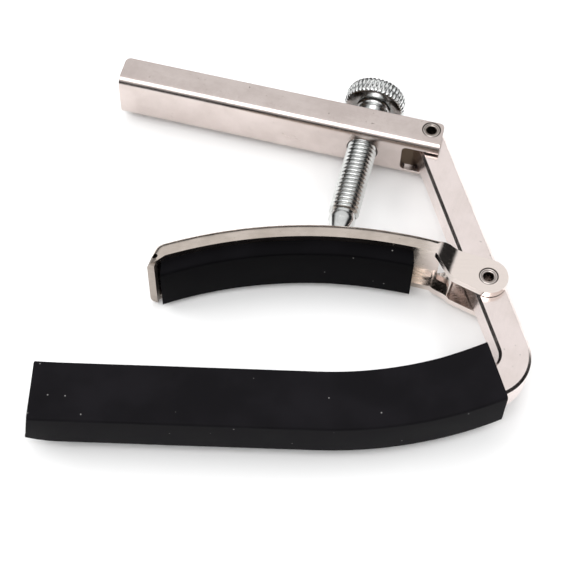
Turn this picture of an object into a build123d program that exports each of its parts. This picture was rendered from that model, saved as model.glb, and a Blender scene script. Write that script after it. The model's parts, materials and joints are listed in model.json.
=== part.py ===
from build123d import *
import os
from math import sin, cos, radians, sqrt

os.makedirs("parts", exist_ok=True)

# A lever capo for a guitar, lying on its side: both pin axes are vertical and the
# clamping happens in the horizontal plane. All sizes are in millimetres.

# heights
mid_z = 5.75                # mid plane of every piece above the table

# bent frame bar
bar_width = 5.0             # across the bar, in the clamping plane
bar_depth = 5.0             # along the pin axes
arm_y = -30.40              # centre line of the straight fretboard arm
arm_left_x = -36.8
bow_start_x = 5.33          # where the arm starts to bow towards the strings
bow_radius = 63.0
bow_angle = 25.5
corner_radius = 5.2
corner_angle = 81.5
corner_to_pin = 12.0
pin_spacing = 29.0
bar_edge = 0.45

# rubber sleeve on the fretboard arm
sleeve_left_x = -37.95
sleeve_width = 9.9
sleeve_depth = 7.5
sleeve_outer_wall = 1.3
sleeve_edge = 0.55
sleeve_short = 0.35         # the sleeve stops this far before the end of the bow
sleeve_lean = 9.0           # lean of the sleeve's cut end at the bow, in degrees

# pins
pin_radius = 1.5
pin_bore = 0.8
pin_clearance = 0.05
pin_edge = 0.25

# lever channel, measured from its pin: u along the lever, v away from the neck
lever_tilt = -12.6
lever_free_u = -53.3
lever_end_u = 2.0
lever_face_v = -3.5
lever_lip_v = 1.7
lever_width = 9.3
sheet = 1.2
lever_bend = 1.7
inner_bend = 0.3
lever_corner = 0.9
notch_u = -4.1
notch_width = 5.8
washer_radius = 1.98
washer_gap = 0.1

# thumb screw
screw_u = -10.75
screw_radius = 2.5
screw_edge = 0.3            # chamfer on the shank's lower end and on the bush
bush_radius = 3.1
bush_height = 3.2
thread_end_v = -17.9
tip_end_v = -22.72
tip_root_radius = 2.2
tip_nose_radius = 1.5
knob_under_v = 5.3
knob_height = 3.5
knob_radius = 5.2
knob_top_edge = 1.4
knob_low_edge = 0.35

# curved cradle channel and its pad
cradle_radius = 72.0
cradle_centre_x = 5.83
cradle_top_y = 1.25
cradle_width = 11.5
cradle_lip = 2.7
cradle_bend = 1.3
tab_angle = -20.6
tab_bend = 1.6
tab_turn = 52.0
tab_length = 3.0
tab_inset = 0.3             # the end tab is this much narrower on each side
lip_end_angle = -21.0
lip_end_x = -20.6
lip_end_y = -7.4            # how far the flanges reach at the end tab
relief_radius = 0.4         # round relief where lip and tab meet
relief_depth = 0.9
relief_x = -20.55
relief_y = -6.15
web_end_x = 24.3
joggle_x = 23.2             # where the lips start to run down to the ears
joggle_drop = 3.5
joggle_run = 2.9
step_x = 23.6               # where the flanges start to step inwards
step_y = -2.2
step_lean = -17.0
step_length = 3.7
ear_half_gap = 2.65
ear_radius = 3.1
pad_face = 5.25
pad_end_x = 19.9
pad_start_x = -19.62
pad_edge = 0.7

# positions that follow from the sizes above
up_angle = bow_angle + corner_angle
bow_end_x = bow_start_x + bow_radius * sin(radians(bow_angle))
bow_end_y = arm_y + bow_radius * (1 - cos(radians(bow_angle)))
corner_x = bow_end_x - corner_radius * sin(radians(bow_angle))
corner_y = bow_end_y + corner_radius * cos(radians(bow_angle))
upright_x = corner_x + corner_radius * sin(radians(up_angle))
upright_y = corner_y - corner_radius * cos(radians(up_angle))
up_x = cos(radians(up_angle))
up_y = sin(radians(up_angle))
cradle_pin_x = upright_x + corner_to_pin * up_x
cradle_pin_y = upright_y + corner_to_pin * up_y
lever_pin_x = cradle_pin_x + pin_spacing * up_x
lever_pin_y = cradle_pin_y + pin_spacing * up_y
print("cradle pin", round(cradle_pin_x, 3), round(cradle_pin_y, 3))
print("lever pin", round(lever_pin_x, 3), round(lever_pin_y, 3))

along_x = cos(radians(lever_tilt))
along_y = sin(radians(lever_tilt))
out_of_lever = Axis((0, 0, 0), (-along_y, along_x, 0))
lever_low = Plane(
    origin=(lever_pin_x, lever_pin_y, mid_z - lever_width / 2),
    x_dir=(along_x, along_y, 0),
    z_dir=(0, 0, 1),
)
lever_section = Plane(
    origin=(lever_pin_x + lever_free_u * along_x, lever_pin_y + lever_free_u * along_y, mid_z),
    x_dir=(0, 0, -1),
    z_dir=(along_x, along_y, 0),
)
screw_axis = Plane(
    origin=(lever_pin_x + screw_u * along_x, lever_pin_y + screw_u * along_y, mid_z),
    x_dir=(along_x, along_y, 0),
    z_dir=(-along_y, along_x, 0),
)
print("screw axis through", [round(c, 3) for c in screw_axis.origin], [round(c, 4) for c in screw_axis.z_dir])
bar_low = Plane.XY.offset(mid_z - bar_depth / 2)


# frame bar: one square bar bent into a J, bored for both pins
with BuildPart() as frame_bar:
    with BuildSketch(bar_low):
        with BuildLine() as centre_line:
            arm = Line((arm_left_x, arm_y), (bow_start_x, arm_y))
            bow = JernArc(arm @ 1, arm % 1, bow_radius, bow_angle)
            corner = JernArc(bow @ 1, bow % 1, corner_radius, corner_angle)
            Line(corner @ 1, (lever_pin_x, lever_pin_y))
        trace(line_width=bar_width)
        with Locations((lever_pin_x, lever_pin_y)):
            Circle(bar_width / 2)
    extrude(amount=bar_depth)
    rims = frame_bar.faces().sort_by(Axis.Z)[0].edges() + frame_bar.faces().sort_by(Axis.Z)[-1].edges()
    chamfer(rims, bar_edge)
    with Locations((cradle_pin_x, cradle_pin_y, mid_z), (lever_pin_x, lever_pin_y, mid_z)):
        Cylinder(pin_radius + pin_clearance, bar_depth + 2, mode=Mode.SUBTRACT)
frame_bar.part.label = "frame_bar"
export_step(frame_bar.part, "parts/frame_bar.step")


# fretboard sleeve: thick rubber tube pushed over the arm, thickest towards the strings
sleeve_shift = sleeve_width / 2 - sleeve_outer_wall - bar_width / 2
outer_half_width = bar_width / 2 + sleeve_outer_wall
outer_end_x = bow_end_x + outer_half_width * sin(radians(bow_angle)) - sleeve_short * cos(radians(bow_angle))
outer_end_y = bow_end_y - outer_half_width * cos(radians(bow_angle)) - sleeve_short * sin(radians(bow_angle))
with BuildPart() as fretboard_sleeve:
    with BuildSketch(Plane.XY.offset(mid_z - sleeve_depth / 2)):
        with BuildLine():
            tube = Line((sleeve_left_x, arm_y + sleeve_shift), (bow_start_x, arm_y + sleeve_shift))
            JernArc(tube @ 1, tube % 1, bow_radius - sleeve_shift, bow_angle + 3)
        trace(line_width=sleeve_width)
        with Locations(Location((outer_end_x, outer_end_y, 0), (0, 0, bow_angle - sleeve_lean))):
            with Locations((10, 5)):
                Rectangle(20, 30, mode=Mode.SUBTRACT)
    extrude(amount=sleeve_depth)
    long_edges = fretboard_sleeve.faces().sort_by(Axis.Z)[0].edges()
    long_edges = long_edges + fretboard_sleeve.faces().sort_by(Axis.Z)[-1].edges()
    fillet(long_edges, sleeve_edge)
    with BuildSketch(bar_low):
        with BuildLine():
            hollow = Line((sleeve_left_x - 1, arm_y), (bow_start_x, arm_y))
            hollow_bow = JernArc(hollow @ 1, hollow % 1, bow_radius, bow_angle)
            JernArc(hollow_bow @ 1, hollow_bow % 1, corner_radius, corner_angle)
        trace(line_width=bar_width)
    extrude(amount=bar_depth, mode=Mode.SUBTRACT)
fretboard_sleeve.part.label = "fretboard_sleeve"
export_step(fretboard_sleeve.part, "parts/fretboard_sleeve.step")


# lever channel: sheet bent to a U with its web towards the cradle
with BuildPart() as lever_channel:
    with BuildSketch(lever_section):
        with Locations((0, (lever_face_v + lever_lip_v) / 2)):
            Rectangle(lever_width, lever_lip_v - lever_face_v)
        with Locations((0, (lever_face_v + sheet + lever_lip_v + 1) / 2)):
            Rectangle(lever_width - 2 * sheet, lever_lip_v + 1 - lever_face_v - sheet, mode=Mode.SUBTRACT)
    extrude(amount=lever_end_u - lever_free_u)
    long_edges = lever_channel.edges().filter_by(Axis((0, 0, 0), (along_x, along_y, 0)))
    long_edges = long_edges.sort_by(out_of_lever)
    fillet(long_edges[2:4], inner_bend)
    fillet(long_edges[0:2], lever_bend)
    with BuildSketch(lever_low.offset(-1)):
        for end_u, inward in ((lever_free_u, 1), (lever_end_u, -1)):
            with Locations((end_u + inward * lever_corner / 2, lever_lip_v - lever_corner / 2)):
                Rectangle(lever_corner, lever_corner)
            with Locations((end_u + inward * lever_corner, lever_lip_v - lever_corner)):
                Circle(lever_corner, mode=Mode.SUBTRACT)
    extrude(amount=lever_width + 2, mode=Mode.SUBTRACT)
    with BuildSketch(screw_axis.offset(lever_face_v - 1)):
        Circle(screw_radius + 0.15)
        with Locations(((notch_u + lever_end_u + 1) / 2 - screw_u, 0)):
            RectangleRounded(lever_end_u + 1 - notch_u, notch_width, 0.9)
    extrude(amount=sheet + 1.5, mode=Mode.SUBTRACT)
    with Locations((lever_pin_x, lever_pin_y, mid_z)):
        Cylinder(pin_radius, lever_width + 2, mode=Mode.SUBTRACT)
lever_channel.part.label = "lever_channel"
export_step(lever_channel.part, "parts/lever_channel.step")


# threaded bush: fixed on the inside of the web, gives the screw enough thread
with BuildPart() as threaded_bush:
    with BuildSketch(screw_axis.offset(lever_face_v + sheet)):
        Circle(bush_radius)
        Circle(screw_radius + pin_clearance, mode=Mode.SUBTRACT)
    extrude(amount=bush_height)
    bush_rims = threaded_bush.edges().filter_by(GeomType.CIRCLE).sort_by(out_of_lever)
    chamfer(bush_rims[-1], screw_edge)
threaded_bush.part.label = "threaded_bush"
export_step(threaded_bush.part, "parts/threaded_bush.step")


# lever pin: hollow rivet, flush with both flanges
with BuildPart() as lever_rivet:
    with Locations((lever_pin_x, lever_pin_y, mid_z)):
        Cylinder(pin_radius, lever_width)
        Cylinder(pin_bore, lever_width, mode=Mode.SUBTRACT)
    fillet(lever_rivet.edges().filter_by(GeomType.CIRCLE), pin_edge)
lever_rivet.part.label = "lever_rivet"
export_step(lever_rivet.part, "parts/lever_rivet.step")


# spacer washers: fill the room between the bar and the lever's flanges
washer_height = lever_width / 2 - sheet - bar_depth / 2 - washer_gap
washer_z = bar_depth / 2 + washer_gap + washer_height / 2
with BuildPart() as spacer_washers:
    with Locations(*[(lever_pin_x, lever_pin_y, mid_z + side * washer_z) for side in (1, -1)]):
        Cylinder(washer_radius, washer_height)
        Cylinder(pin_radius, washer_height, mode=Mode.SUBTRACT)
spacer_washers.part.label = "spacer_washers"
export_step(spacer_washers.part, "parts/spacer_washers.step")


# cradle channel: curved sheet channel, open towards the neck, with two ears round the bar
cradle_centre_y = cradle_top_y - cradle_radius
lip_radius = cradle_radius - cradle_lip
web_inner = cradle_radius - sheet
tab_x = cradle_centre_x + cradle_radius * sin(radians(tab_angle))
tab_y = cradle_centre_y + cradle_radius * cos(radians(tab_angle))
web_mid = cradle_radius - sheet / 2
tab_root = (
    cradle_centre_x + web_mid * sin(radians(tab_angle)),
    cradle_centre_y + web_mid * cos(radians(tab_angle)),
)
tab_heading = (-cos(radians(tab_angle)), sin(radians(tab_angle)))
tab_outer_bend = tab_bend + sheet / 2
tab_down = radians(180 - tab_angle + tab_turn)
web_end_y = cradle_centre_y + sqrt(cradle_radius**2 - (web_end_x - cradle_centre_x) ** 2)
joggle_y = cradle_centre_y + sqrt(lip_radius**2 - (joggle_x - cradle_centre_x) ** 2)
ear_low_x = cradle_pin_x - ear_radius * 0.5
ear_low_y = cradle_pin_y - ear_radius * 0.866
ear_high_x = cradle_pin_x + ear_radius * 0.37
ear_high_y = cradle_pin_y + ear_radius * 0.929

# where the rounded back corners start, a little past the web's right end
corner_start = 16.0
corner_section = Plane(
    origin=(cradle_centre_x, cradle_centre_y, 0),
    x_dir=(sin(radians(corner_start)), cos(radians(corner_start)), 0),
    z_dir=(cos(radians(corner_start)), -sin(radians(corner_start)), 0),
)

tab_bend_centre = (
    tab_root[0] - tab_bend * sin(radians(tab_angle)),
    tab_root[1] - tab_bend * cos(radians(tab_angle)),
    0,
)
tab_section = Plane(
    origin=tab_bend_centre,
    x_dir=(sin(radians(tab_angle)), cos(radians(tab_angle)), 0),
    z_dir=(cos(radians(tab_angle)), -sin(radians(tab_angle)), 0),
)
turned = tab_angle - tab_turn
tab_end_section = Plane(
    origin=tab_bend_centre,
    x_dir=(sin(radians(turned)), cos(radians(turned)), 0),
    z_dir=(cos(radians(turned)), -sin(radians(turned)), 0),
)


def corner_profile(radius):
    """The sharp outside corners to take off, at a distance from the axis of a bend."""
    for edge_z, inward in ((0, 1), (2 * mid_z, -1)):
        with Locations((radius, edge_z)):
            Rectangle(2 * cradle_bend, 2 * cradle_bend)
        with Locations((radius - cradle_bend, edge_z + inward * cradle_bend)):
            Circle(cradle_bend, mode=Mode.SUBTRACT)


# the channel's outside and inside widths along its length: full, then stepping in to the ears
outer_half = cradle_width / 2
inner_half = outer_half - sheet
ear_outer = ear_half_gap + sheet
step_plane = Plane(
    origin=(step_x, step_y, 0),
    x_dir=(cos(radians(step_lean)), sin(radians(step_lean)), 0),
    z_dir=(sin(radians(step_lean)), -cos(radians(step_lean)), 0),
)

with BuildPart() as cradle_hollow:
    with BuildSketch(step_plane):
        with BuildLine():
            Polyline(
                (-60, mid_z - inner_half),
                (-0.35, mid_z - inner_half),
                (step_length - 0.35, mid_z - ear_half_gap),
                (20, mid_z - ear_half_gap),
                (20, mid_z + ear_half_gap),
                (step_length - 0.35, mid_z + ear_half_gap),
                (-0.35, mid_z + inner_half),
                (-60, mid_z + inner_half),
                close=True,
            )
        make_face()
    extrude(amount=40, both=True)
    with BuildSketch():
        with Locations((cradle_centre_x, cradle_centre_y)):
            Circle(web_inner)
        with Locations((web_end_x + 10, cradle_pin_y)):
            Rectangle(20, 30)
    extrude(amount=2 * mid_z, mode=Mode.INTERSECT)

with BuildPart() as cradle_channel:
    with BuildSketch():
        with BuildLine():
            outer = RadiusArc((tab_x, tab_y), (web_end_x, web_end_y), cradle_radius)
            top_edge = Line(outer @ 1, (ear_high_x, ear_high_y))
            nose = ThreePointArc(
                top_edge @ 1,
                (cradle_pin_x + ear_radius * 0.829, cradle_pin_y - ear_radius * 0.559),
                (ear_low_x, ear_low_y),
            )
            low_edge = Line(nose @ 1, (joggle_x + joggle_run, joggle_y - joggle_drop))
            step_in = Line(low_edge @ 1, (joggle_x, joggle_y))
            lip_x = cradle_centre_x + lip_radius * sin(radians(lip_end_angle))
            lip_y = cradle_centre_y + lip_radius * cos(radians(lip_end_angle))
            lip = RadiusArc(step_in @ 1, (lip_x, lip_y), -lip_radius)
            tab_back = JernArc((tab_x, tab_y), tab_heading, tab_outer_bend, tab_turn)
            fall = ((tab_back @ 1).Y - lip_end_y) / -sin(tab_down)
            tab_edge = Line(tab_back @ 1, tab_back @ 1 + fall * (tab_back % 1))
            lip_corner = Line(tab_edge @ 1, (lip_end_x, lip_end_y))
            Line(lip_corner @ 1, lip @ 1)
        make_face()
    extrude(amount=2 * mid_z)
    with BuildSketch(step_plane):
        with BuildLine():
            Polyline(
                (-60, mid_z - outer_half),
                (0, mid_z - outer_half),
                (step_length, mid_z - ear_outer),
                (20, mid_z - ear_outer),
                (20, mid_z + ear_outer),
                (step_length, mid_z + ear_outer),
                (0, mid_z + outer_half),
                (-60, mid_z + outer_half),
                close=True,
            )
        make_face()
    extrude(amount=40, both=True, mode=Mode.INTERSECT)
    add(cradle_hollow.part, mode=Mode.SUBTRACT)
    with BuildSketch(Plane.XY.offset(mid_z - outer_half + tab_inset)):
        with BuildLine():
            tab_arc = JernArc(tab_root, tab_heading, tab_bend, tab_turn)
            Line(tab_arc @ 1, tab_arc @ 1 + tab_length * (tab_arc % 1))
        trace(line_width=sheet)
    extrude(amount=cradle_width - 2 * tab_inset)
    with BuildSketch(corner_section):
        corner_profile(cradle_radius)
    web_axis = Axis((cradle_centre_x, cradle_centre_y, 0), (0, 0, 1))
    revolve(axis=web_axis, revolution_arc=corner_start - tab_angle, mode=Mode.SUBTRACT)
    with BuildSketch(tab_section):
        corner_profile(tab_outer_bend)
    revolve(axis=Axis(tab_bend_centre, (0, 0, 1)), revolution_arc=tab_turn, mode=Mode.SUBTRACT)
    with BuildSketch(tab_end_section):
        corner_profile(tab_outer_bend)
    extrude(amount=-2 * tab_length, mode=Mode.SUBTRACT)
    with Locations((cradle_pin_x, cradle_pin_y, mid_z)):
        Cylinder(pin_radius, cradle_width, mode=Mode.SUBTRACT)
    with Locations((relief_x, relief_y, mid_z + outer_half), (relief_x, relief_y, mid_z - outer_half)):
        Cylinder(relief_radius, 2 * relief_depth, mode=Mode.SUBTRACT)
cradle_channel.part.label = "cradle_channel"
export_step(cradle_channel.part, "parts/cradle_channel.step")


# cradle pin: hollow rivet, flush with both ears
with BuildPart() as cradle_rivet:
    with Locations((cradle_pin_x, cradle_pin_y, mid_z)):
        Cylinder(pin_radius, 2 * ear_outer)
        Cylinder(pin_bore, 2 * ear_outer, mode=Mode.SUBTRACT)
    fillet(cradle_rivet.edges().filter_by(GeomType.CIRCLE), pin_edge)
cradle_rivet.part.label = "cradle_rivet"
export_step(cradle_rivet.part, "parts/cradle_rivet.step")


# neck pad: rubber strip filling the channel and standing proud of its lips
with BuildPart() as neck_pad:
    with BuildSketch(Plane.XY.offset(mid_z - inner_half)):
        with Locations((cradle_centre_x, cradle_centre_y)):
            Circle(web_inner)
            Circle(cradle_radius - pad_face, mode=Mode.SUBTRACT)
        with Locations(((pad_start_x + pad_end_x) / 2, cradle_top_y - 8)):
            Rectangle(pad_end_x - pad_start_x, 40, mode=Mode.INTERSECT)
        with BuildLine():
            tab_side = JernArc(tab_root, tab_heading, tab_bend, tab_turn)
        trace(line_width=sheet + 0.1, mode=Mode.SUBTRACT)
    extrude(amount=2 * inner_half)
    curved_edges = neck_pad.edges().filter_by(GeomType.CIRCLE)
    face_edges = [edge for edge in curved_edges if abs(edge.radius - cradle_radius + pad_face) < 0.01]
    fillet(face_edges, pad_edge)
neck_pad.part.label = "neck_pad"
export_step(neck_pad.part, "parts/neck_pad.step")


# screw tip: tapered nose on which the screw turns, it presses on the cradle's back
with BuildPart() as screw_tip:
    with BuildSketch(screw_axis.offset(thread_end_v)):
        Circle(tip_root_radius)
    with BuildSketch(screw_axis.offset(tip_end_v + tip_nose_radius * 0.6)):
        Circle(tip_nose_radius)
    loft()
    with Locations(screw_axis.offset(tip_end_v + tip_nose_radius)):
        Sphere(tip_nose_radius)
screw_tip.part.label = "screw_tip"
export_step(screw_tip.part, "parts/screw_tip.step")


# screw shank: threaded part, with the crests as its outside
with BuildPart() as screw_shank:
    with BuildSketch(screw_axis.offset(thread_end_v)):
        Circle(screw_radius)
    extrude(amount=knob_under_v - thread_end_v)
    shank_rims = screw_shank.edges().filter_by(GeomType.CIRCLE).sort_by(out_of_lever)
    chamfer(shank_rims[0], screw_edge)
screw_shank.part.label = "screw_shank"
export_step(screw_shank.part, "parts/screw_shank.step")


# screw knob: knurled round head
with BuildPart() as screw_knob:
    with BuildSketch(screw_axis.offset(knob_under_v)):
        Circle(knob_radius)
    extrude(amount=knob_height)
    knob_rims = screw_knob.edges().filter_by(GeomType.CIRCLE).sort_by(out_of_lever)
    fillet(knob_rims[-1], knob_top_edge)
    knob_rims = screw_knob.edges().filter_by(GeomType.CIRCLE).sort_by(out_of_lever)
    chamfer(knob_rims[0], knob_low_edge)
screw_knob.part.label = "screw_knob"
export_step(screw_knob.part, "parts/screw_knob.step")
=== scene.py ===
"""Looks of a lever-lock guitar capo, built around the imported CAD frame. Lengths are in metres."""

import json
from math import asin, atan2, cos, pi, radians, sin

import bmesh
import bpy
from mathutils import Matrix, Vector, noise


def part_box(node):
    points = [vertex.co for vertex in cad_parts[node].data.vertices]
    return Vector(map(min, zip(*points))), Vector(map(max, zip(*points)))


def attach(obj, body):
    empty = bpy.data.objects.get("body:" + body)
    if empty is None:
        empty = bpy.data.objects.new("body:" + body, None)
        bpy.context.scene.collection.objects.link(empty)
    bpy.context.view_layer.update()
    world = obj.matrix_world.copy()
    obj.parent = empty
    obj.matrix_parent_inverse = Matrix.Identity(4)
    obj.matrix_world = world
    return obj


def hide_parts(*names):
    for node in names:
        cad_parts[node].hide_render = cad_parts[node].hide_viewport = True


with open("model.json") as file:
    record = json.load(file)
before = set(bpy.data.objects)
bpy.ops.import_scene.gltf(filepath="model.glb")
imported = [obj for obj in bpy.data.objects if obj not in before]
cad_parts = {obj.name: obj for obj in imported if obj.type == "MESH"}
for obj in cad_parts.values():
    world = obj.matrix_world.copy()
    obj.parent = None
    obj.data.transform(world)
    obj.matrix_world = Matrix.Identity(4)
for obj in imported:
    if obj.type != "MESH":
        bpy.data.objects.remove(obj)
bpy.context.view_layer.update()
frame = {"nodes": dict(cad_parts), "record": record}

MM = 0.001
RECORD = frame["record"]


# ---------------------------------------------------------------- places read from the frame

def joint(name):
    """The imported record's entry for one joint."""
    return next(j for j in RECORD["behaviour"]["joints"] if j["name"] == name)


def pin_place(name):
    """A pin axis as the point at mid height."""
    return Vector(joint(name)["pos_m"])


def middle(node):
    low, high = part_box(node)
    return (Vector(low) + Vector(high)) / 2


LEVER_PIN = pin_place("lever_hinge")
CRADLE_PIN = pin_place("cradle_hinge")
SCREW_ORIGIN = pin_place("screw_turn")
SCREW_AXIS = Vector(joint("screw_feed")["axis"]).normalized()
MID_Z = LEVER_PIN.z
UP = Vector((0, 0, 1))
LEVER_ALONG = Vector((SCREW_AXIS.y, -SCREW_AXIS.x, 0))
LEVER_TILT = -LEVER_ALONG.angle(Vector((1, 0, 0)))
BAR_TURN = -(CRADLE_PIN - LEVER_PIN).to_2d().angle_signed(Vector((1, 0)))


# ---------------------------------------------------------------- driving sizes

PIN_R = 1.5 * MM
PIN_BORE = 0.8 * MM
PIN_RING = 1.58 * MM            # outside of the painted shade line round each rivet, where its head meets the plate
WALL = 1.2 * MM                 # sheet of the lever and of the cradle
LEVER_HALF = 4.65 * MM          # from mid height to the outside of the lever's flanges
LEVER_WEB = 3.5 * MM            # from the lever's pin to the back of its web

BAR_HALF = 2.5 * MM
BOW_X = 5.33 * MM               # where the fretboard arm starts to bow
BOW_R = 63.0 * MM
BOW_ANGLE = radians(25.5)
SLEEVE_WIDTH = 9.9 * MM
SLEEVE_CORNER = 0.5 * MM
SLEEVE_SHORT = 0.35 * MM        # how far the sleeve's right end stops before the end of the bow
SLEEVE_LEAN = sin(radians(9.0))

CRADLE_R = 72 * MM
CRADLE_CENTRE = Vector((5.83 * MM, 1.25 * MM - CRADLE_R, MID_Z))
PAD_BACK_R = 70.8 * MM
PAD_FACE_R = 66.75 * MM
PAD_CORNER = 0.5 * MM
STEP_START = Vector((23.6 * MM, -2.2 * MM, 0))
STEP_LEAN = radians(-17.0)      # the step to the ears runs across the flanges at this angle
STEP_LENGTH = 3.7 * MM
STEP_DEPTH = 1.9 * MM
TAB_PLACE = (-0.0219, -0.0074, 0)
RELIEF_PLACE = (-0.02055, -0.00615, 0)

SCREW_R = 2.5 * MM
THREAD_PITCH = 0.8 * MM
THREAD_DEPTH = 0.46 * MM
THREAD_LOW = -17.9 * MM         # heights along the screw, from its place on the lever
THREAD_HIGH = 0.7 * MM
NOSE_ROOT_R = 2.2 * MM
NOSE_R = 1.5 * MM
NOSE_END = -22.72 * MM
KNOB_LOW = 5.3 * MM
KNOB_HEIGHT = 3.5 * MM
KNOB_R = 5.2 * MM
KNOB_RIM = 1.5 * MM             # radius of the knob's rounded top edge
KNURL_RIDGES = 42
KNURL_DEPTH = 0.22 * MM
KNURL_SLANT = 1.1               # ridges crossed by each line from bottom to top


# ---------------------------------------------------------------- shader node groups

def node_group(name, inputs, outputs):
    """A new shader group with the given sockets: (name, kind, default)."""
    group = bpy.data.node_groups.new(name, "ShaderNodeTree")
    for label, kind, default in inputs:
        socket = group.interface.new_socket(label, in_out="INPUT", socket_type=kind)
        if default is not None:
            socket.default_value = default
    for label, kind in outputs:
        group.interface.new_socket(label, in_out="OUTPUT", socket_type=kind)
    ends = group.nodes.new("NodeGroupInput"), group.nodes.new("NodeGroupOutput")
    return group, ends[0], ends[1]


def math_node(tree, operation, a, b=None, clamp=False):
    """A Math node fed by sockets or plain numbers."""
    node = tree.nodes.new("ShaderNodeMath")
    node.operation = operation
    node.use_clamp = clamp
    for socket, value in zip(node.inputs, (a, b)):
        if isinstance(value, (int, float)):
            socket.default_value = value
        elif value is not None:
            tree.links.new(value, socket)
    return node.outputs[0]


def remap(tree, value, low, high, to_low=0.0, to_high=1.0):
    """Clamped smooth remap of a value."""
    node = tree.nodes.new("ShaderNodeMapRange")
    node.interpolation_type = "SMOOTHSTEP"
    tree.links.new(value, node.inputs["Value"])
    for label, number in (("From Min", low), ("From Max", high), ("To Min", to_low), ("To Max", to_high)):
        node.inputs[label].default_value = number
    return node.outputs["Result"]


def noise_node(tree, vector, scale, detail=2.0, roughness=0.5):
    node = tree.nodes.new("ShaderNodeTexNoise")
    node.inputs["Detail"].default_value = detail
    node.inputs["Roughness"].default_value = roughness
    if isinstance(scale, (int, float)):
        node.inputs["Scale"].default_value = scale
    else:
        tree.links.new(scale, node.inputs["Scale"])
    tree.links.new(vector, node.inputs["Vector"])
    return node.outputs["Fac"]


def make_streaks():
    """Fine lines along X of the vector it gets, as polishing leaves on plated sheet."""
    group, given, out = node_group(
        "polishing_streaks",
        [
            ("Vector", "NodeSocketVector", None),
            ("Length", "NodeSocketFloat", 60.0),
            ("Fineness", "NodeSocketFloat", 2600.0),
        ],
        [("Streaks", "NodeSocketFloat")],
    )
    split = group.nodes.new("ShaderNodeSeparateXYZ")
    join = group.nodes.new("ShaderNodeCombineXYZ")
    group.links.new(given.outputs["Vector"], split.inputs[0])
    for letter, scale in (("X", "Length"), ("Y", "Fineness"), ("Z", "Fineness")):
        scaled = math_node(group, "MULTIPLY", split.outputs[letter], given.outputs[scale])
        group.links.new(scaled, join.inputs[letter])
    group.links.new(noise_node(group, join.outputs[0], 1.0, 3.0, 0.6), out.inputs["Streaks"])
    return group


def make_handling():
    """Soft cloudy marks and small pits, as plated metal gets from casting and handling."""
    group, given, out = node_group(
        "handling_marks",
        [
            ("Vector", "NodeSocketVector", None),
            ("Cloud Size", "NodeSocketFloat", 150.0),
            ("Pit Size", "NodeSocketFloat", 1500.0),
        ],
        [("Clouds", "NodeSocketFloat"), ("Pits", "NodeSocketFloat")],
    )
    clouds = noise_node(group, given.outputs["Vector"], given.outputs["Cloud Size"], 4.0, 0.6)
    pits = noise_node(group, given.outputs["Vector"], given.outputs["Pit Size"], 1.0, 0.5)
    group.links.new(remap(group, clouds, 0.3, 0.7), out.inputs["Clouds"])
    group.links.new(remap(group, pits, 0.74, 0.8), out.inputs["Pits"])
    return group


def make_dust():
    """Pale specks of dust, sparse and of uneven size."""
    group, given, out = node_group(
        "dust_specks",
        [
            ("Vector", "NodeSocketVector", None),
            ("Fineness", "NodeSocketFloat", 900.0),
            ("Cover", "NodeSocketFloat", 0.06),
        ],
        [("Specks", "NodeSocketFloat")],
    )
    cells = group.nodes.new("ShaderNodeTexVoronoi")
    group.links.new(given.outputs["Vector"], cells.inputs["Vector"])
    group.links.new(given.outputs["Fineness"], cells.inputs["Scale"])
    dots = remap(group, cells.outputs["Distance"], 0.05, 0.2, 1.0, 0.0)
    chance = group.nodes.new("ShaderNodeSeparateColor")
    group.links.new(cells.outputs["Color"], chance.inputs[0])
    kept = math_node(group, "LESS_THAN", chance.outputs["Red"], given.outputs["Cover"])
    group.links.new(math_node(group, "MULTIPLY", dots, kept), out.inputs["Specks"])
    return group


def make_channel_inside():
    """1 on the inside faces of a U channel: near its mid plane and beyond its web, 0 outside; the mask of
    painted shade.
    """
    group, given, out = node_group(
        "channel_inside",
        [
            ("Vector", "NodeSocketVector", None),
            ("Mid Height", "NodeSocketFloat", 0.0),
            ("Half Width", "NodeSocketFloat", 0.003),
            ("Web Face", "NodeSocketFloat", 0.0),
        ],
        [("Inside", "NodeSocketFloat")],
    )
    split = group.nodes.new("ShaderNodeSeparateXYZ")
    group.links.new(given.outputs["Vector"], split.inputs[0])
    lifted = math_node(group, "SUBTRACT", split.outputs["Z"], given.outputs["Mid Height"])
    between = math_node(group, "LESS_THAN", math_node(group, "ABSOLUTE", lifted), given.outputs["Half Width"])
    beyond = math_node(group, "GREATER_THAN", split.outputs["Y"], given.outputs["Web Face"])
    group.links.new(math_node(group, "MULTIPLY", between, beyond), out.inputs["Inside"])
    return group


def make_round_mark():
    """1 within a radius of an upright line at a place in plan, 0 away from it."""
    group, given, out = node_group(
        "round_mark",
        [
            ("Vector", "NodeSocketVector", None),
            ("Centre X", "NodeSocketFloat", 0.0),
            ("Centre Y", "NodeSocketFloat", 0.0),
            ("Radius", "NodeSocketFloat", 0.0005),
        ],
        [("Mark", "NodeSocketFloat")],
    )
    split = group.nodes.new("ShaderNodeSeparateXYZ")
    group.links.new(given.outputs["Vector"], split.inputs[0])
    across = math_node(group, "SUBTRACT", split.outputs["X"], given.outputs["Centre X"])
    ahead = math_node(group, "SUBTRACT", split.outputs["Y"], given.outputs["Centre Y"])
    square = math_node(
        group, "ADD", math_node(group, "MULTIPLY", across, across), math_node(group, "MULTIPLY", ahead, ahead)
    )
    away = math_node(group, "SQRT", square)
    group.links.new(math_node(group, "LESS_THAN", away, given.outputs["Radius"]), out.inputs["Mark"])
    return group


STREAKS = make_streaks()
HANDLING = make_handling()
DUST = make_dust()
INSIDE = make_channel_inside()
ROUND_MARK = make_round_mark()


def place_group(tree, group, vector, **values):
    node = tree.nodes.new("ShaderNodeGroup")
    node.node_tree = group
    tree.links.new(vector, node.inputs["Vector"])
    for label, number in values.items():
        node.inputs[label.replace("_", " ")].default_value = number
    return node.outputs


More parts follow.
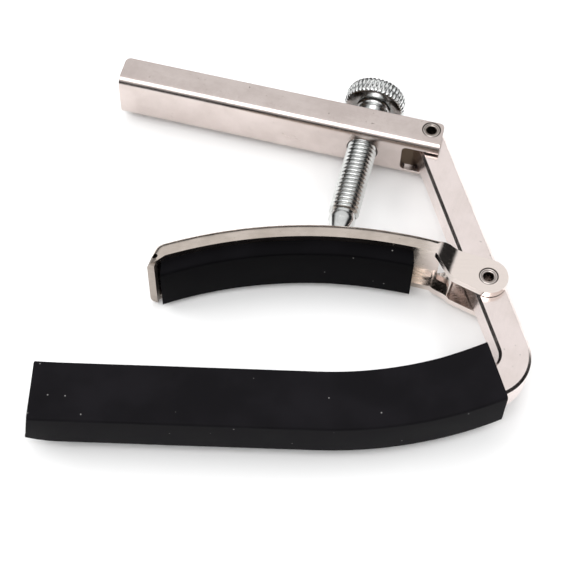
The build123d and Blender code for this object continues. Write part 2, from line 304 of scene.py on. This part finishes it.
def mix_colour(tree, factor, a, b):
    node = tree.nodes.new("ShaderNodeMix")
    node.data_type = "RGBA"
    tree.links.new(factor, node.inputs["Factor"])
    for socket, value in ((node.inputs[6], a), (node.inputs[7], b)):
        if isinstance(value, tuple):
            socket.default_value = (*value, 1.0)
        else:
            tree.links.new(value, socket)
    return node.outputs[2]


def bump(tree, height, strength, distance, normal=None):
    node = tree.nodes.new("ShaderNodeBump")
    node.inputs["Strength"].default_value = strength
    node.inputs["Distance"].default_value = distance
    tree.links.new(height, node.inputs["Height"])
    if normal is not None:
        tree.links.new(normal, node.inputs["Normal"])
    return node.outputs["Normal"]


def new_material(name, turn=0.0):
    """A material, its node tree, its Principled shader, and object coordinates turned about Z."""
    material = bpy.data.materials.new(name)
    material.use_nodes = True
    tree = material.node_tree
    shader = tree.nodes["Principled BSDF"]
    where = tree.nodes.new("ShaderNodeTexCoord")
    mapping = tree.nodes.new("ShaderNodeMapping")
    mapping.inputs["Rotation"].default_value = (0, 0, turn)
    tree.links.new(where.outputs["Object"], mapping.inputs["Vector"])
    return material, tree, shader, mapping.outputs["Vector"]


# ---------------------------------------------------------------- materials

PIT_BROWN = (0.16, 0.13, 0.11)
# painted shade laid on the inside faces of the lever's channel
INSIDE_PAINTED_SHADE = (0.10, 0.072, 0.052)
WORKED_NICKEL = (0.86, 0.77, 0.72)
# painted shade: a black disc standing for the dark inside of the cradle's relief hole
HOLE_PAINTED_SHADE = (0.02, 0.016, 0.013)
TAB_GREY = (0.40, 0.35, 0.31)
# painted shade: grey rings round the rivets on the cradle's ears and on the lever, where the rivet heads meet
# the plate
EAR_RING_PAINTED_SHADE = (0.26, 0.22, 0.195)
LEVER_RING_PAINTED_SHADE = (0.20, 0.17, 0.15)
DUST_GREY = (0.42, 0.41, 0.40)


def nickel_plate(
    name, colour, deep, roughness, streak, turn=0.0, streak_length=60.0, inside=None, polish=None, darkened_spots=()
):
    """Warm nickel plate: polishing lines along one direction, cloudy handling marks and pits.

    turn is minus the angle of the polishing lines from X; streak is how much they vary the roughness;
    inside is (half width, web face) of a channel whose inner faces get painted shade, a dark brown, and more
    roughness;
    polish is (x low, x high), between which the surface turns smoother and more wavy;
    each round spot given is (centre, radius, colour): an upright round place where the plate is painted dark
    and made rougher; at holes and round rivets the dark is painted shade."""
    material, tree, shader, where = new_material(name, turn)
    lines = place_group(tree, STREAKS, where, Length=streak_length, Fineness=2600.0)["Streaks"]
    marks = place_group(tree, HANDLING, where, Cloud_Size=170.0, Pit_Size=1900.0)
    tone = mix_colour(tree, marks["Clouds"], colour, deep)
    tone = mix_colour(tree, math_node(tree, "MULTIPLY", marks["Pits"], 0.55), tone, PIT_BROWN)
    lined = remap(tree, lines, 0.25, 0.75, roughness - streak, roughness + streak)
    rough = math_node(tree, "ADD", lined, math_node(tree, "MULTIPLY", marks["Clouds"], 0.05))
    # painted shade: the inside faces of the channel are darkened to brown and made rougher
    if inside is not None:
        half_width, web_face = inside
        channel = place_group(tree, INSIDE, where, Mid_Height=MID_Z, Half_Width=half_width, Web_Face=web_face)
        inside_shade = channel["Inside"]
        tone = mix_colour(tree, inside_shade, tone, INSIDE_PAINTED_SHADE)
        rough = math_node(tree, "ADD", rough, math_node(tree, "MULTIPLY", inside_shade, 0.12))
    waves = noise_node(tree, where, 260.0, 1.0, 0.4)
    if polish is not None:
        split = tree.nodes.new("ShaderNodeSeparateXYZ")
        tree.links.new(where, split.inputs[0])
        worked = remap(tree, split.outputs["X"], *polish)
        rough = math_node(tree, "SUBTRACT", rough, math_node(tree, "MULTIPLY", worked, 0.11))
        waves = math_node(tree, "MULTIPLY", waves, remap(tree, worked, 0.0, 1.0, 1.0, 2.6))
        tone = mix_colour(tree, worked, tone, WORKED_NICKEL)
    # painted shade at holes and round rivets, a grey tone on the cradle's end tab; each spot is also made
    # rougher
    for centre, radius, dark in darkened_spots:
        x, y, z = Matrix.Rotation(turn, 3, "Z") @ Vector(centre)
        mark = place_group(tree, ROUND_MARK, where, Centre_X=x, Centre_Y=y, Radius=radius)["Mark"]
        tone = mix_colour(tree, mark, tone, dark)
        rough = math_node(tree, "ADD", rough, math_node(tree, "MULTIPLY", mark, 0.2))
    tree.links.new(tone, shader.inputs["Base Color"])
    shader.inputs["Metallic"].default_value = 1.0
    tree.links.new(rough, shader.inputs["Roughness"])
    normal = bump(tree, lines, 0.25, 0.000006)
    normal = bump(tree, marks["Clouds"], 0.3, 0.00002, normal)
    normal = bump(tree, waves, 0.5, 0.00006, normal)
    tree.links.new(normal, shader.inputs["Normal"])
    return material


def bright_zinc(name, colour, roughness):
    """Bright neutral plate on turned parts."""
    material, tree, shader, where = new_material(name)
    marks = place_group(tree, HANDLING, where, Cloud_Size=420.0, Pit_Size=2600.0)
    tone = mix_colour(tree, marks["Clouds"], colour, tuple(c * 0.82 for c in colour))
    tree.links.new(tone, shader.inputs["Base Color"])
    shader.inputs["Metallic"].default_value = 1.0
    rough = remap(tree, marks["Clouds"], 0, 1, roughness, roughness + 0.12)
    tree.links.new(rough, shader.inputs["Roughness"])
    tree.links.new(bump(tree, marks["Clouds"], 0.3, 0.00002), shader.inputs["Normal"])
    return material


def moulded_rubber(name, colour, dust_cover, shine):
    """Matt black rubber with a fine skin, faint flow marks and specks of dust.

    dust_cover is the share of places that hold a speck; shine scales the reflection of the skin."""
    material, tree, shader, where = new_material(name)
    grain = noise_node(tree, where, 5200.0, 3.0, 0.7)
    flow = noise_node(tree, where, 120.0, 3.0, 0.5)
    specks = place_group(tree, DUST, where, Fineness=1150.0, Cover=dust_cover)["Specks"]
    tone = mix_colour(tree, remap(tree, flow, 0.35, 0.7), colour, tuple(c * 1.55 for c in colour))
    tone = mix_colour(tree, math_node(tree, "MULTIPLY", specks, 0.5), tone, DUST_GREY)
    tree.links.new(tone, shader.inputs["Base Color"])
    flowed = remap(tree, flow, 0.3, 0.75, 0.5, 0.64)
    rough = math_node(tree, "ADD", flowed, math_node(tree, "MULTIPLY", grain, 0.1))
    tree.links.new(rough, shader.inputs["Roughness"])
    shader.inputs["Specular IOR Level"].default_value = shine
    normal = bump(tree, grain, 0.35, 0.00002)
    normal = bump(tree, flow, 0.3, 0.0002, normal)
    tree.links.new(bump(tree, specks, 0.4, 0.00004, normal), shader.inputs["Normal"])
    return material


SKIN = 0.05 * MM                # how far the painted-shade mask of the lever's inside reaches into its walls
LEVER_INSIDE = (LEVER_HALF - WALL + SKIN, LEVER_PIN.dot(SCREW_AXIS) - LEVER_WEB + WALL - SKIN)
BAR_NICKEL = nickel_plate(
    "bar nickel plate",
    colour=(0.90, 0.80, 0.775),
    deep=(0.83, 0.735, 0.70),
    roughness=0.19,
    streak=0.05,
    turn=-BAR_TURN,
)
LEVER_NICKEL = nickel_plate(
    "lever nickel plate",
    colour=(0.685, 0.605, 0.575),
    deep=(0.595, 0.52, 0.49),
    roughness=0.19,
    streak=0.05,
    turn=-LEVER_TILT,
    inside=LEVER_INSIDE,
    darkened_spots=((LEVER_PIN, PIN_RING, LEVER_RING_PAINTED_SHADE),),
)
CRADLE_NICKEL = nickel_plate(
    "cradle nickel plate",
    colour=(0.68, 0.60, 0.54),
    deep=(0.52, 0.455, 0.40),
    roughness=0.24,
    streak=0.09,
    streak_length=40.0,
    polish=(21.0 * MM, 24.0 * MM),
    darkened_spots=(
        (TAB_PLACE, 1.75 * MM, TAB_GREY),
        # painted shade: the black disc at the relief hole, and the ring round the rivet below
        (RELIEF_PLACE, 0.43 * MM, HOLE_PAINTED_SHADE),
        (CRADLE_PIN, PIN_RING, EAR_RING_PAINTED_SHADE),
    ),
)
RIVET_NICKEL = nickel_plate(
    "rivet nickel plate", colour=(0.66, 0.60, 0.57), deep=(0.5, 0.45, 0.42), roughness=0.16, streak=0.04
)
SCREW_ZINC = bright_zinc("bright zinc plate", colour=(0.74, 0.75, 0.74), roughness=0.13)
KNOB_ZINC = bright_zinc("knurled zinc plate", colour=(0.88, 0.89, 0.885), roughness=0.14)
RUBBER = moulded_rubber("black rubber", colour=(0.0060, 0.0055, 0.0066), dust_cover=0.035, shine=0.045)
PAD_RUBBER = moulded_rubber("pad rubber", colour=(0.0032, 0.0030, 0.0036), dust_cover=0.035, shine=0.025)


# ---------------------------------------------------------------- mesh helpers

def finish_piece(bm, name, material, body, nodes, smooth=35):
    """Turns a bmesh into a piece that rides a body, hides its CAD nodes and shades smoothly."""
    mesh = bpy.data.meshes.new(name)
    bm.to_mesh(mesh)
    bm.free()
    mesh.materials.append(material)
    mesh.shade_smooth()
    mesh.set_sharp_from_angle(angle=radians(smooth))
    piece = bpy.data.objects.new(name, mesh)
    bpy.context.scene.collection.objects.link(piece)
    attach(piece, body)
    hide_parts(*nodes)
    return piece


def soften(piece, width, segments=3, angle=40):
    """Small rounded edges on a piece."""
    bevel = piece.modifiers.new("edge radius", "BEVEL")
    bevel.width = width
    bevel.segments = segments
    bevel.limit_method = "ANGLE"
    bevel.angle_limit = radians(angle)
    bevel.harden_normals = True
    bevel.use_clamp_overlap = True
    return piece


def from_cad(node, flatten=0.6):
    """A merged copy of a CAD node's mesh with its flat faces whole."""
    bm = bmesh.new()
    bm.from_mesh(frame["nodes"][node].data)
    bmesh.ops.remove_doubles(bm, verts=bm.verts, dist=1e-7)
    bmesh.ops.dissolve_limit(bm, angle_limit=radians(flatten), verts=bm.verts, edges=bm.edges)
    bmesh.ops.recalc_face_normals(bm, faces=bm.faces)
    return bm


def lathe(bm, profile, axis_origin, axis, steps):
    """Closed turned shape: profile is (radius, distance along the axis) pairs, joined by straight runs."""
    side = axis.orthogonal().normalized()
    verts = [bm.verts.new(axis_origin + axis * along + side * radius) for radius, along in profile]
    edges = [bm.edges.new(pair) for pair in zip(verts, verts[1:])]
    bmesh.ops.spin(
        bm, geom=verts + edges, cent=axis_origin, axis=axis, angle=2 * pi, steps=steps, use_merge=True
    )
    bmesh.ops.remove_doubles(bm, verts=bm.verts, dist=1e-7)
    bmesh.ops.recalc_face_normals(bm, faces=bm.faces)


def rounded(centre, radius, start, turn, steps=4):
    """Points of an arc for a turned profile; its centre is (radius, distance along the axis)."""
    angles = [radians(start + turn * k / steps) for k in range(steps + 1)]
    return [(centre[0] + radius * cos(angle), centre[1] + radius * sin(angle)) for angle in angles]


# ---------------------------------------------------------------- metal pieces

def build_bar():
    bm = from_cad("frame_bar")
    piece = finish_piece(bm, "bent_bar", BAR_NICKEL, "frame", ["frame_bar"])
    return soften(piece, 0.27 * MM, segments=4, angle=30)


def build_lever():
    bm = from_cad("lever_channel")
    piece = finish_piece(bm, "lever", LEVER_NICKEL, "lever", ["lever_channel"])
    return soften(piece, 0.22 * MM)


def build_bush():
    bm = from_cad("threaded_bush")
    piece = finish_piece(bm, "screw_bush", LEVER_NICKEL, "lever", ["threaded_bush"])
    return soften(piece, 0.12 * MM, segments=2)


def build_washers():
    bm = from_cad("spacer_washers")
    piece = finish_piece(bm, "pin_washers", RIVET_NICKEL, "lever", ["spacer_washers"])
    return soften(piece, 0.08 * MM, segments=2)


def smooth_step(t):
    """0 to 1 with level ends."""
    t = min(max(t, 0.0), 1.0)
    return t * t * (3 - 2 * t)


def build_cradle():
    """The CAD cradle with its straight step to the ears drawn out into a smooth double bend."""
    bm = from_cad("cradle_channel")
    along = Vector((cos(STEP_LEAN), sin(STEP_LEAN), 0))
    ease = 0.05 * MM
    cuts = 14
    for k in range(cuts + 1):
        place = STEP_START + along * (-ease + (STEP_LENGTH + 2 * ease) * k / cuts)
        bmesh.ops.bisect_plane(
            bm, geom=bm.verts[:] + bm.edges[:] + bm.faces[:], plane_co=place, plane_no=along, dist=1e-7
        )
    inner_reach = 2 * MM
    for v in bm.verts:
        side = 1 if v.co.z > MID_Z else -1
        run = (v.co - STEP_START).dot(along)
        straight = min(max(run / STEP_LENGTH, 0), 1)
        bent = smooth_step((run + ease) / (STEP_LENGTH + 2 * ease))
        if abs(v.co.z - MID_Z) > inner_reach:
            v.co.z += side * STEP_DEPTH * (straight - bent)
    piece = finish_piece(bm, "cradle", CRADLE_NICKEL, "cradle", ["cradle_channel"])
    return soften(piece, 0.24 * MM)


def build_rivet(name, node, body):
    """Hollow rivet with its ends rolled over a little dished ring."""
    low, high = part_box(node)
    centre = middle(node)
    half = (high[2] - low[2]) / 2
    ring, bore = PIN_R, PIN_BORE
    top = [
        (ring, half - 0.28 * MM),
        (ring - 0.03 * MM, half - 0.1 * MM),
        (ring - 0.12 * MM, half - 0.02 * MM),
        (ring - 0.26 * MM, half),
        (ring - 0.34 * MM, half - 0.05 * MM),
        (ring - 0.38 * MM, half - 0.16 * MM),
        (ring - 0.44 * MM, half - 0.16 * MM),
        (bore + 0.2 * MM, half - 0.05 * MM),
        (bore + 0.12 * MM, half - 0.06 * MM),
        (bore + 0.04 * MM, half - 0.16 * MM),
        (bore, half - 0.32 * MM),
    ]
    profile = top + [(r, -a) for r, a in reversed(top)] + [top[0]]
    bm = bmesh.new()
    lathe(bm, profile, centre, UP, steps=48)
    return finish_piece(bm, name, RIVET_NICKEL, body, [node], 50)


# ---------------------------------------------------------------- thumb screw

def build_shank():
    """Threaded shank: one pitch of profile spun up the axis, and a smooth neck flaring under the knob."""
    bm = bmesh.new()
    pitch = THREAD_PITCH
    turns = round((THREAD_HIGH - THREAD_LOW) / pitch)
    root = SCREW_R - THREAD_DEPTH
    crest_side = SCREW_R - 0.03 * MM
    rise = [(root, 0.0), (root, 0.1), (crest_side, 0.4), (SCREW_R, 0.47)]
    fall = [(crest_side, 0.54), (root, 0.86), (root, 1.0)]
    verts = []
    for reach, share in rise + fall:
        height = THREAD_LOW + share * pitch
        verts.append(bm.verts.new(SCREW_ORIGIN + SCREW_AXIS * height + LEVER_ALONG * reach))
    edges = [bm.edges.new(pair) for pair in zip(verts, verts[1:])]
    steps = 32 * turns
    bmesh.ops.spin(
        bm, geom=verts + edges, cent=SCREW_ORIGIN, axis=SCREW_AXIS, angle=2 * pi * turns, steps=steps,
        dvec=SCREW_AXIS * (pitch * turns / steps),
    )
    bmesh.ops.remove_doubles(bm, verts=bm.verts, dist=5e-6)
    bmesh.ops.recalc_face_normals(bm, faces=bm.faces)
    for v in bm.verts:
        offset = v.co - SCREW_ORIGIN
        height = offset.dot(SCREW_AXIS)
        out = offset - SCREW_AXIS * height
        if out.length > root:
            kept = smooth_step((height - THREAD_LOW) / (1.3 * pitch))
            v.co -= out.normalized() * (out.length - root) * (1 - kept)
    thread_end = THREAD_LOW + pitch * (turns + 1)
    neck_r = SCREW_R - 0.04 * MM
    ring_r = neck_r + 0.1 * MM
    flare = 0.4 * MM
    neck = [
        (0.0, THREAD_HIGH - 0.4 * MM),
        (neck_r - 0.3 * MM, THREAD_HIGH - 0.4 * MM),
        (neck_r, thread_end - 0.9 * MM),
        (neck_r, KNOB_LOW - 0.95 * MM),
        (ring_r, KNOB_LOW - 0.9 * MM),
        (ring_r, KNOB_LOW - 0.5 * MM),
        (neck_r, KNOB_LOW - 0.42 * MM),
    ]
    neck += rounded((neck_r + flare, KNOB_LOW - 0.38 * MM), flare, 180, -90)
    neck += [(0.0, KNOB_LOW + 0.05 * MM)]
    collar = bmesh.new()
    lathe(collar, neck, SCREW_ORIGIN, SCREW_AXIS, steps=64)
    join(bm, collar)
    core = bmesh.new()
    core_r = root - 0.01 * MM
    core_profile = [(0, THREAD_LOW), (core_r, THREAD_LOW), (core_r, THREAD_HIGH), (0, THREAD_HIGH)]
    lathe(core, core_profile, SCREW_ORIGIN, SCREW_AXIS, steps=32)
    join(bm, core)
    return finish_piece(bm, "threaded_shank", SCREW_ZINC, "thumb_screw", ["screw_shank"], 50)


def join(bm, other):
    """Adds another bmesh to this one and frees it."""
    mesh = bpy.data.meshes.new("part")
    other.to_mesh(mesh)
    other.free()
    bm.from_mesh(mesh)
    bpy.data.meshes.remove(mesh)


def build_tip():
    """Tapered nose: a short relieved collar, a cone and a rounded end."""
    root, low = NOSE_ROOT_R, THREAD_LOW
    profile = [
        (0.0, low + 0.2 * MM),
        (root - 0.1 * MM, low + 0.2 * MM),
        (root, low - 0.1 * MM),
        (root, low - 0.7 * MM),
        (root - 0.12 * MM, low - 0.95 * MM),
        (NOSE_R + 0.2 * MM, NOSE_END + 2.6 * MM),
    ]
    profile += rounded((0.0, NOSE_END + NOSE_R), NOSE_R, 12, -102, 8)
    profile[-1] = (0.0, NOSE_END)
    bm = bmesh.new()
    lathe(bm, profile, SCREW_ORIGIN, SCREW_AXIS, steps=64)
    return finish_piece(bm, "screw_nose", SCREW_ZINC, "tip", ["screw_tip"], 40)


def build_knob():
    """Round head with a deep rounded top edge, a plain dished underside and a crossed knurl."""
    low, high = KNOB_LOW, KNOB_LOW + KNOB_HEIGHT
    rim = KNOB_RIM
    flat = KNOB_R - rim
    rows = 10
    side_low = low + 0.35 * MM
    profile = [
        (0.0, low + 0.25 * MM),
        (2.6 * MM, low + 0.25 * MM),
        (3.0 * MM, low + 0.12 * MM),
        (KNOB_R - 0.55 * MM, low),
        (KNOB_R - 0.3 * MM, low + 0.05 * MM),
    ]
    profile += [(KNOB_R, side_low + (high - rim - side_low) * k / rows) for k in range(rows + 1)]
    profile += rounded((flat, high - rim), rim, 9, 81, 9)
    dish = high - 0.12 * MM
    profile += [(flat - 0.5 * MM, high - 0.03 * MM), (flat - 1.0 * MM, dish), (0.0, dish)]
    bm = bmesh.new()
    lathe(bm, profile, SCREW_ORIGIN, SCREW_AXIS, steps=KNURL_RIDGES * 8)
    for v in bm.verts:
        offset = v.co - SCREW_ORIGIN
        along = offset.dot(SCREW_AXIS)
        out = offset - SCREW_AXIS * along
        if out.length < flat + 0.35 * rim or along < side_low - 0.05 * MM:
            continue
        turn = Vector((out.dot(LEVER_ALONG), out.dot(UP))).angle_signed(Vector((1, 0)))
        lean = (along - low) / KNOB_HEIGHT * KNURL_SLANT
        phase = KNURL_RIDGES * turn / 2
        cut = max(abs(sin(phase + lean * pi)), abs(sin(phase - lean * pi))) ** 0.8
        fade = min(1.0, (out.length - flat) / rim)
        v.co -= out.normalized() * KNURL_DEPTH * (1 - cut) * fade * 2.0
        v.co -= out.normalized() * KNURL_DEPTH * 0.35 * fade * (1 - abs(sin(phase)))
    return finish_piece(bm, "knurled_knob", KNOB_ZINC, "thumb_screw", ["screw_knob"], 60)


# ---------------------------------------------------------------- rubber pieces

def rubber_section(bm, centre, across, up, size, corner):
    """A flat rounded rectangle: across and up are unit directions, size is its width and height."""
    placed = Matrix((
        (across.x, up.x, across.cross(up).x, centre.x),
        (across.y, up.y, across.cross(up).y, centre.y),
        (across.z, up.z, across.cross(up).z, centre.z),
        (0, 0, 0, 1),
    ))
    made = bmesh.ops.create_grid(bm, x_segments=1, y_segments=1, size=0.5)["verts"]
    bmesh.ops.scale(bm, vec=(size[0], size[1], 1), verts=made)
    bmesh.ops.bevel(bm, geom=made, offset=corner, segments=5, profile=0.5, material=-1, affect="VERTICES")
    bmesh.ops.transform(bm, matrix=placed, verts=bm.verts)


def build_sleeve():
    """Thick rubber tube: a rounded section drawn along the straight arm and round its bow."""
    low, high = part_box("fretboard_sleeve")
    arm_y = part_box("frame_bar")[0][1] + BAR_HALF
    outer_wall = arm_y - BAR_HALF - low[1]
    depth = high[2] - low[2]
    shift = SLEEVE_WIDTH / 2 - outer_wall - BAR_HALF
    bow_centre = Vector((BOW_X, arm_y + BOW_R, MID_Z))
    bm = bmesh.new()
    start = Vector((low[0], arm_y + shift, MID_Z))
    rubber_section(bm, start, Vector((0, 1, 0)), UP, (SLEEVE_WIDTH, depth), SLEEVE_CORNER)
    bm.faces.ensure_lookup_table()
    end = [bm.faces[0]]
    steps = 30
    for k in range(steps):
        made = bmesh.ops.extrude_face_region(bm, geom=end, use_keep_orig=(k == 0))["geom"]
        end = [f for f in made if isinstance(f, bmesh.types.BMFace)]
        verts = [v for v in made if isinstance(v, bmesh.types.BMVert)]
        bmesh.ops.translate(bm, vec=((BOW_X - low[0]) / steps, 0, 0), verts=verts)
    geom = end + list({e for f in end for e in f.edges}) + list({v for f in end for v in f.verts})
    bmesh.ops.spin(
        bm, geom=geom, cent=bow_centre, axis=(0, 0, 1), angle=BOW_ANGLE, steps=24, use_duplicate=False
    )
    bmesh.ops.remove_doubles(bm, verts=bm.verts, dist=1e-7)
    bmesh.ops.recalc_face_normals(bm, faces=bm.faces)
    warp_sleeve(bm, start, bow_centre, outer_wall, depth)
    bmesh.ops.recalc_face_normals(bm, faces=bm.faces)
    return finish_piece(bm, "rubber_sleeve", RUBBER, "frame", ["fretboard_sleeve"], 60)


def warp_sleeve(bm, start, bow_centre, outer_wall, depth):
    """Leans the cut end at the bow, and makes the free end and the sides a little uneven."""
    end_face = Vector((cos(BOW_ANGLE), sin(BOW_ANGLE), 0))
    outside = Vector((sin(BOW_ANGLE), -cos(BOW_ANGLE), 0))
    free_end = 4 * MM
    for v in bm.verts:
        wave = noise.noise(v.co * 90) * 0.05 * MM
        near_end = max(0.0, 1 - (v.co.x - start.x) / free_end)
        front = max(0.0, (start.y - v.co.y) / (SLEEVE_WIDTH / 2))
        under = max(0.0, (MID_Z - v.co.z) / (depth / 2))
        if v.co.x > BOW_X:
            short = BOW_ANGLE - (v.co - bow_centre).angle(Vector((0, -1, 0)))
            inward = BOW_R + BAR_HALF + outer_wall - (v.co - bow_centre).dot(outside)
            share = max(0.0, 1 - short / radians(6))
            v.co += end_face * (inward * SLEEVE_LEAN - SLEEVE_SHORT) * share
        v.co.y += wave * 0.6 + 0.1 * MM * near_end * (1 if v.co.y > start.y else 0)
        drawn_in = 1.1 * MM * under * (0.4 + 0.6 * front)
        v.co.x += near_end**2 * (0.5 * MM - drawn_in + noise.noise(v.co * 500) * 0.3 * MM)
        v.co.z += near_end**2 * front * under * 1.1 * MM


def build_pad():
    """Rubber strip: a rounded section swung along the curve of the cradle, its end faces cut square."""
    low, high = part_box("neck_pad")
    centre = CRADLE_CENTRE
    left_x, right_x = low[0], high[0]
    radius = (PAD_BACK_R + PAD_FACE_R) / 2
    first, last = asin((left_x - centre.x) / radius), asin((right_x - centre.x) / radius)
    out = Vector((sin(first), cos(first), 0))
    bm = bmesh.new()
    size = (PAD_BACK_R - PAD_FACE_R, high[2] - low[2])
    rubber_section(bm, centre + out * radius, out, UP, size, PAD_CORNER)
    geom = bm.faces[:] + bm.edges[:] + bm.verts[:]
    bmesh.ops.spin(
        bm, geom=geom, cent=centre, axis=(0, 0, -1), angle=last - first, steps=44, use_duplicate=False
    )
    for v in bm.verts:
        for edge_x, turn in ((left_x, first), (right_x, last)):
            reach = (v.co - centre).to_2d().length
            if abs(atan2(v.co.x - centre.x, v.co.y - centre.y) - turn) < 0.001:
                v.co.x = edge_x
                v.co.y = centre.y + (reach**2 - (edge_x - centre.x) ** 2) ** 0.5
    bmesh.ops.remove_doubles(bm, verts=bm.verts, dist=1e-7)
    bmesh.ops.recalc_face_normals(bm, faces=bm.faces)
    for v in bm.verts:
        v.co.y += noise.noise(v.co * 110) * 0.05 * MM
    return finish_piece(bm, "rubber_pad", PAD_RUBBER, "cradle", ["neck_pad"], 60)


# ---------------------------------------------------------------- stage

def build_floor():
    """A pale floor; only its middle shows in the metal, so that the dark horizon reaches down to it."""
    material, tree, shader, where = new_material("pale floor")
    cloud = noise_node(tree, where, 3.0, 2.0)
    tone = mix_colour(tree, cloud, (0.93, 0.93, 0.93), (0.95, 0.95, 0.95))
    tree.links.new(tone, shader.inputs["Base Color"])
    shader.inputs["Roughness"].default_value = 0.8
    for name, size, height, in_metal in (("floor", 1.2, -0.00002, False), ("floor middle", 0.075, 0.0, True)):
        bm = bmesh.new()
        bmesh.ops.create_grid(bm, x_segments=1, y_segments=1, size=size)
        bmesh.ops.translate(bm, vec=(0, 0, height), verts=bm.verts)
        mesh = bpy.data.meshes.new(name)
        bm.to_mesh(mesh)
        bm.free()
        mesh.materials.append(material)
        floor = bpy.data.objects.new(name, mesh)
        floor.visible_glossy = in_metal
        bpy.context.scene.collection.objects.link(floor)


def add_area(name, place, target, size, power, seen_in_metal=True):
    """A rectangular lamp that faces its target."""
    light = bpy.data.lights.new(name, "AREA")
    light.shape = "RECTANGLE"
    light.size, light.size_y = size
    light.energy = power
    lamp = bpy.data.objects.new(name, light)
    facing = (Vector(target) - Vector(place)).to_track_quat("-Z", "Y")
    lamp.matrix_world = Matrix.Translation(place) @ facing.to_matrix().to_4x4()
    lamp.visible_glossy = seen_in_metal
    bpy.context.scene.collection.objects.link(lamp)
    return lamp


def build_sky():
    """A white studio dome with a dark band near the horizon, which draws the dark lines on bright metal."""
    world = bpy.data.worlds.new("studio")
    bpy.context.scene.world = world
    world.use_nodes = True
    tree = world.node_tree
    where = tree.nodes.new("ShaderNodeTexCoord")
    split = tree.nodes.new("ShaderNodeSeparateXYZ")
    ramp = tree.nodes.new("ShaderNodeValToRGB")
    tree.links.new(where.outputs["Generated"], split.inputs[0])
    right = math_node(tree, "MAXIMUM", split.outputs["X"], 0.0)
    leaning = math_node(tree, "SUBTRACT", split.outputs["Z"], math_node(tree, "MULTIPLY", right, 0.25))
    tree.links.new(leaning, ramp.inputs["Fac"])
    tree.links.new(ramp.outputs["Color"], tree.nodes["Background"].inputs["Color"])
    stops = ramp.color_ramp.elements
    stops[0].position, stops[0].color = 0.0, (0.02, 0.02, 0.02, 1)
    stops[1].position, stops[1].color = 1.0, (1.0, 1.0, 1.0, 1)
    for place, level in ((0.32, 0.02), (0.46, 0.5), (0.6, 0.97)):
        stop = stops.new(place)
        stop.color = (level, level, level, 1)
    tree.nodes["Background"].inputs["Strength"].default_value = 0.94


def build_camera():
    """Long lens looking down on the capo, a little rolled."""
    elevation, roll = radians(58.5), radians(2.0)
    distance = 237.46 * MM
    target = Vector((0.33 * MM, -7.7 * MM, MID_Z))
    forward = Vector((0, cos(elevation), -sin(elevation)))
    level = Vector((1, 0, 0))
    lift = level.cross(forward)
    right = level * cos(roll) + lift * sin(roll)
    up = lift * cos(roll) - level * sin(roll)
    data = bpy.data.cameras.new("camera")
    data.sensor_width = 36
    data.lens = 93.75
    data.clip_start = 0.01
    camera = bpy.data.objects.new("camera", data)
    place = target - forward * distance
    camera.matrix_world = Matrix((
        (right.x, up.x, -forward.x, place.x),
        (right.y, up.y, -forward.y, place.y),
        (right.z, up.z, -forward.z, place.z),
        (0, 0, 0, 1),
    ))
    bpy.context.scene.collection.objects.link(camera)
    bpy.context.scene.camera = camera


def build_lights():
    scene = bpy.context.scene
    scene.view_settings.view_transform = "Standard"
    add_area("overhead softbox", (-0.12, -0.34, 0.62), (0, 0, 0), (0.5, 0.36), 1.6)
    add_area("left fill", (-0.65, 0.1, 0.5), (0, 0, 0), (0.5, 0.5), 2.6, seen_in_metal=False)
    add_area("right fill", (0.65, 0.05, 0.5), (0, 0, 0), (0.5, 0.5), 2.6, seen_in_metal=False)
    add_area("back fill", (0.0, 0.6, 0.55), (0, 0, 0), (0.6, 0.4), 2.0, seen_in_metal=False)


build_bar()
build_sleeve()
build_lever()
build_bush()
build_washers()
build_rivet("lever_hollow_rivet", "lever_rivet", "lever")
build_cradle()
build_pad()
build_rivet("cradle_hollow_rivet", "cradle_rivet", "cradle")
build_tip()
build_shank()
build_knob()
build_floor()
build_sky()
build_lights()
build_camera()
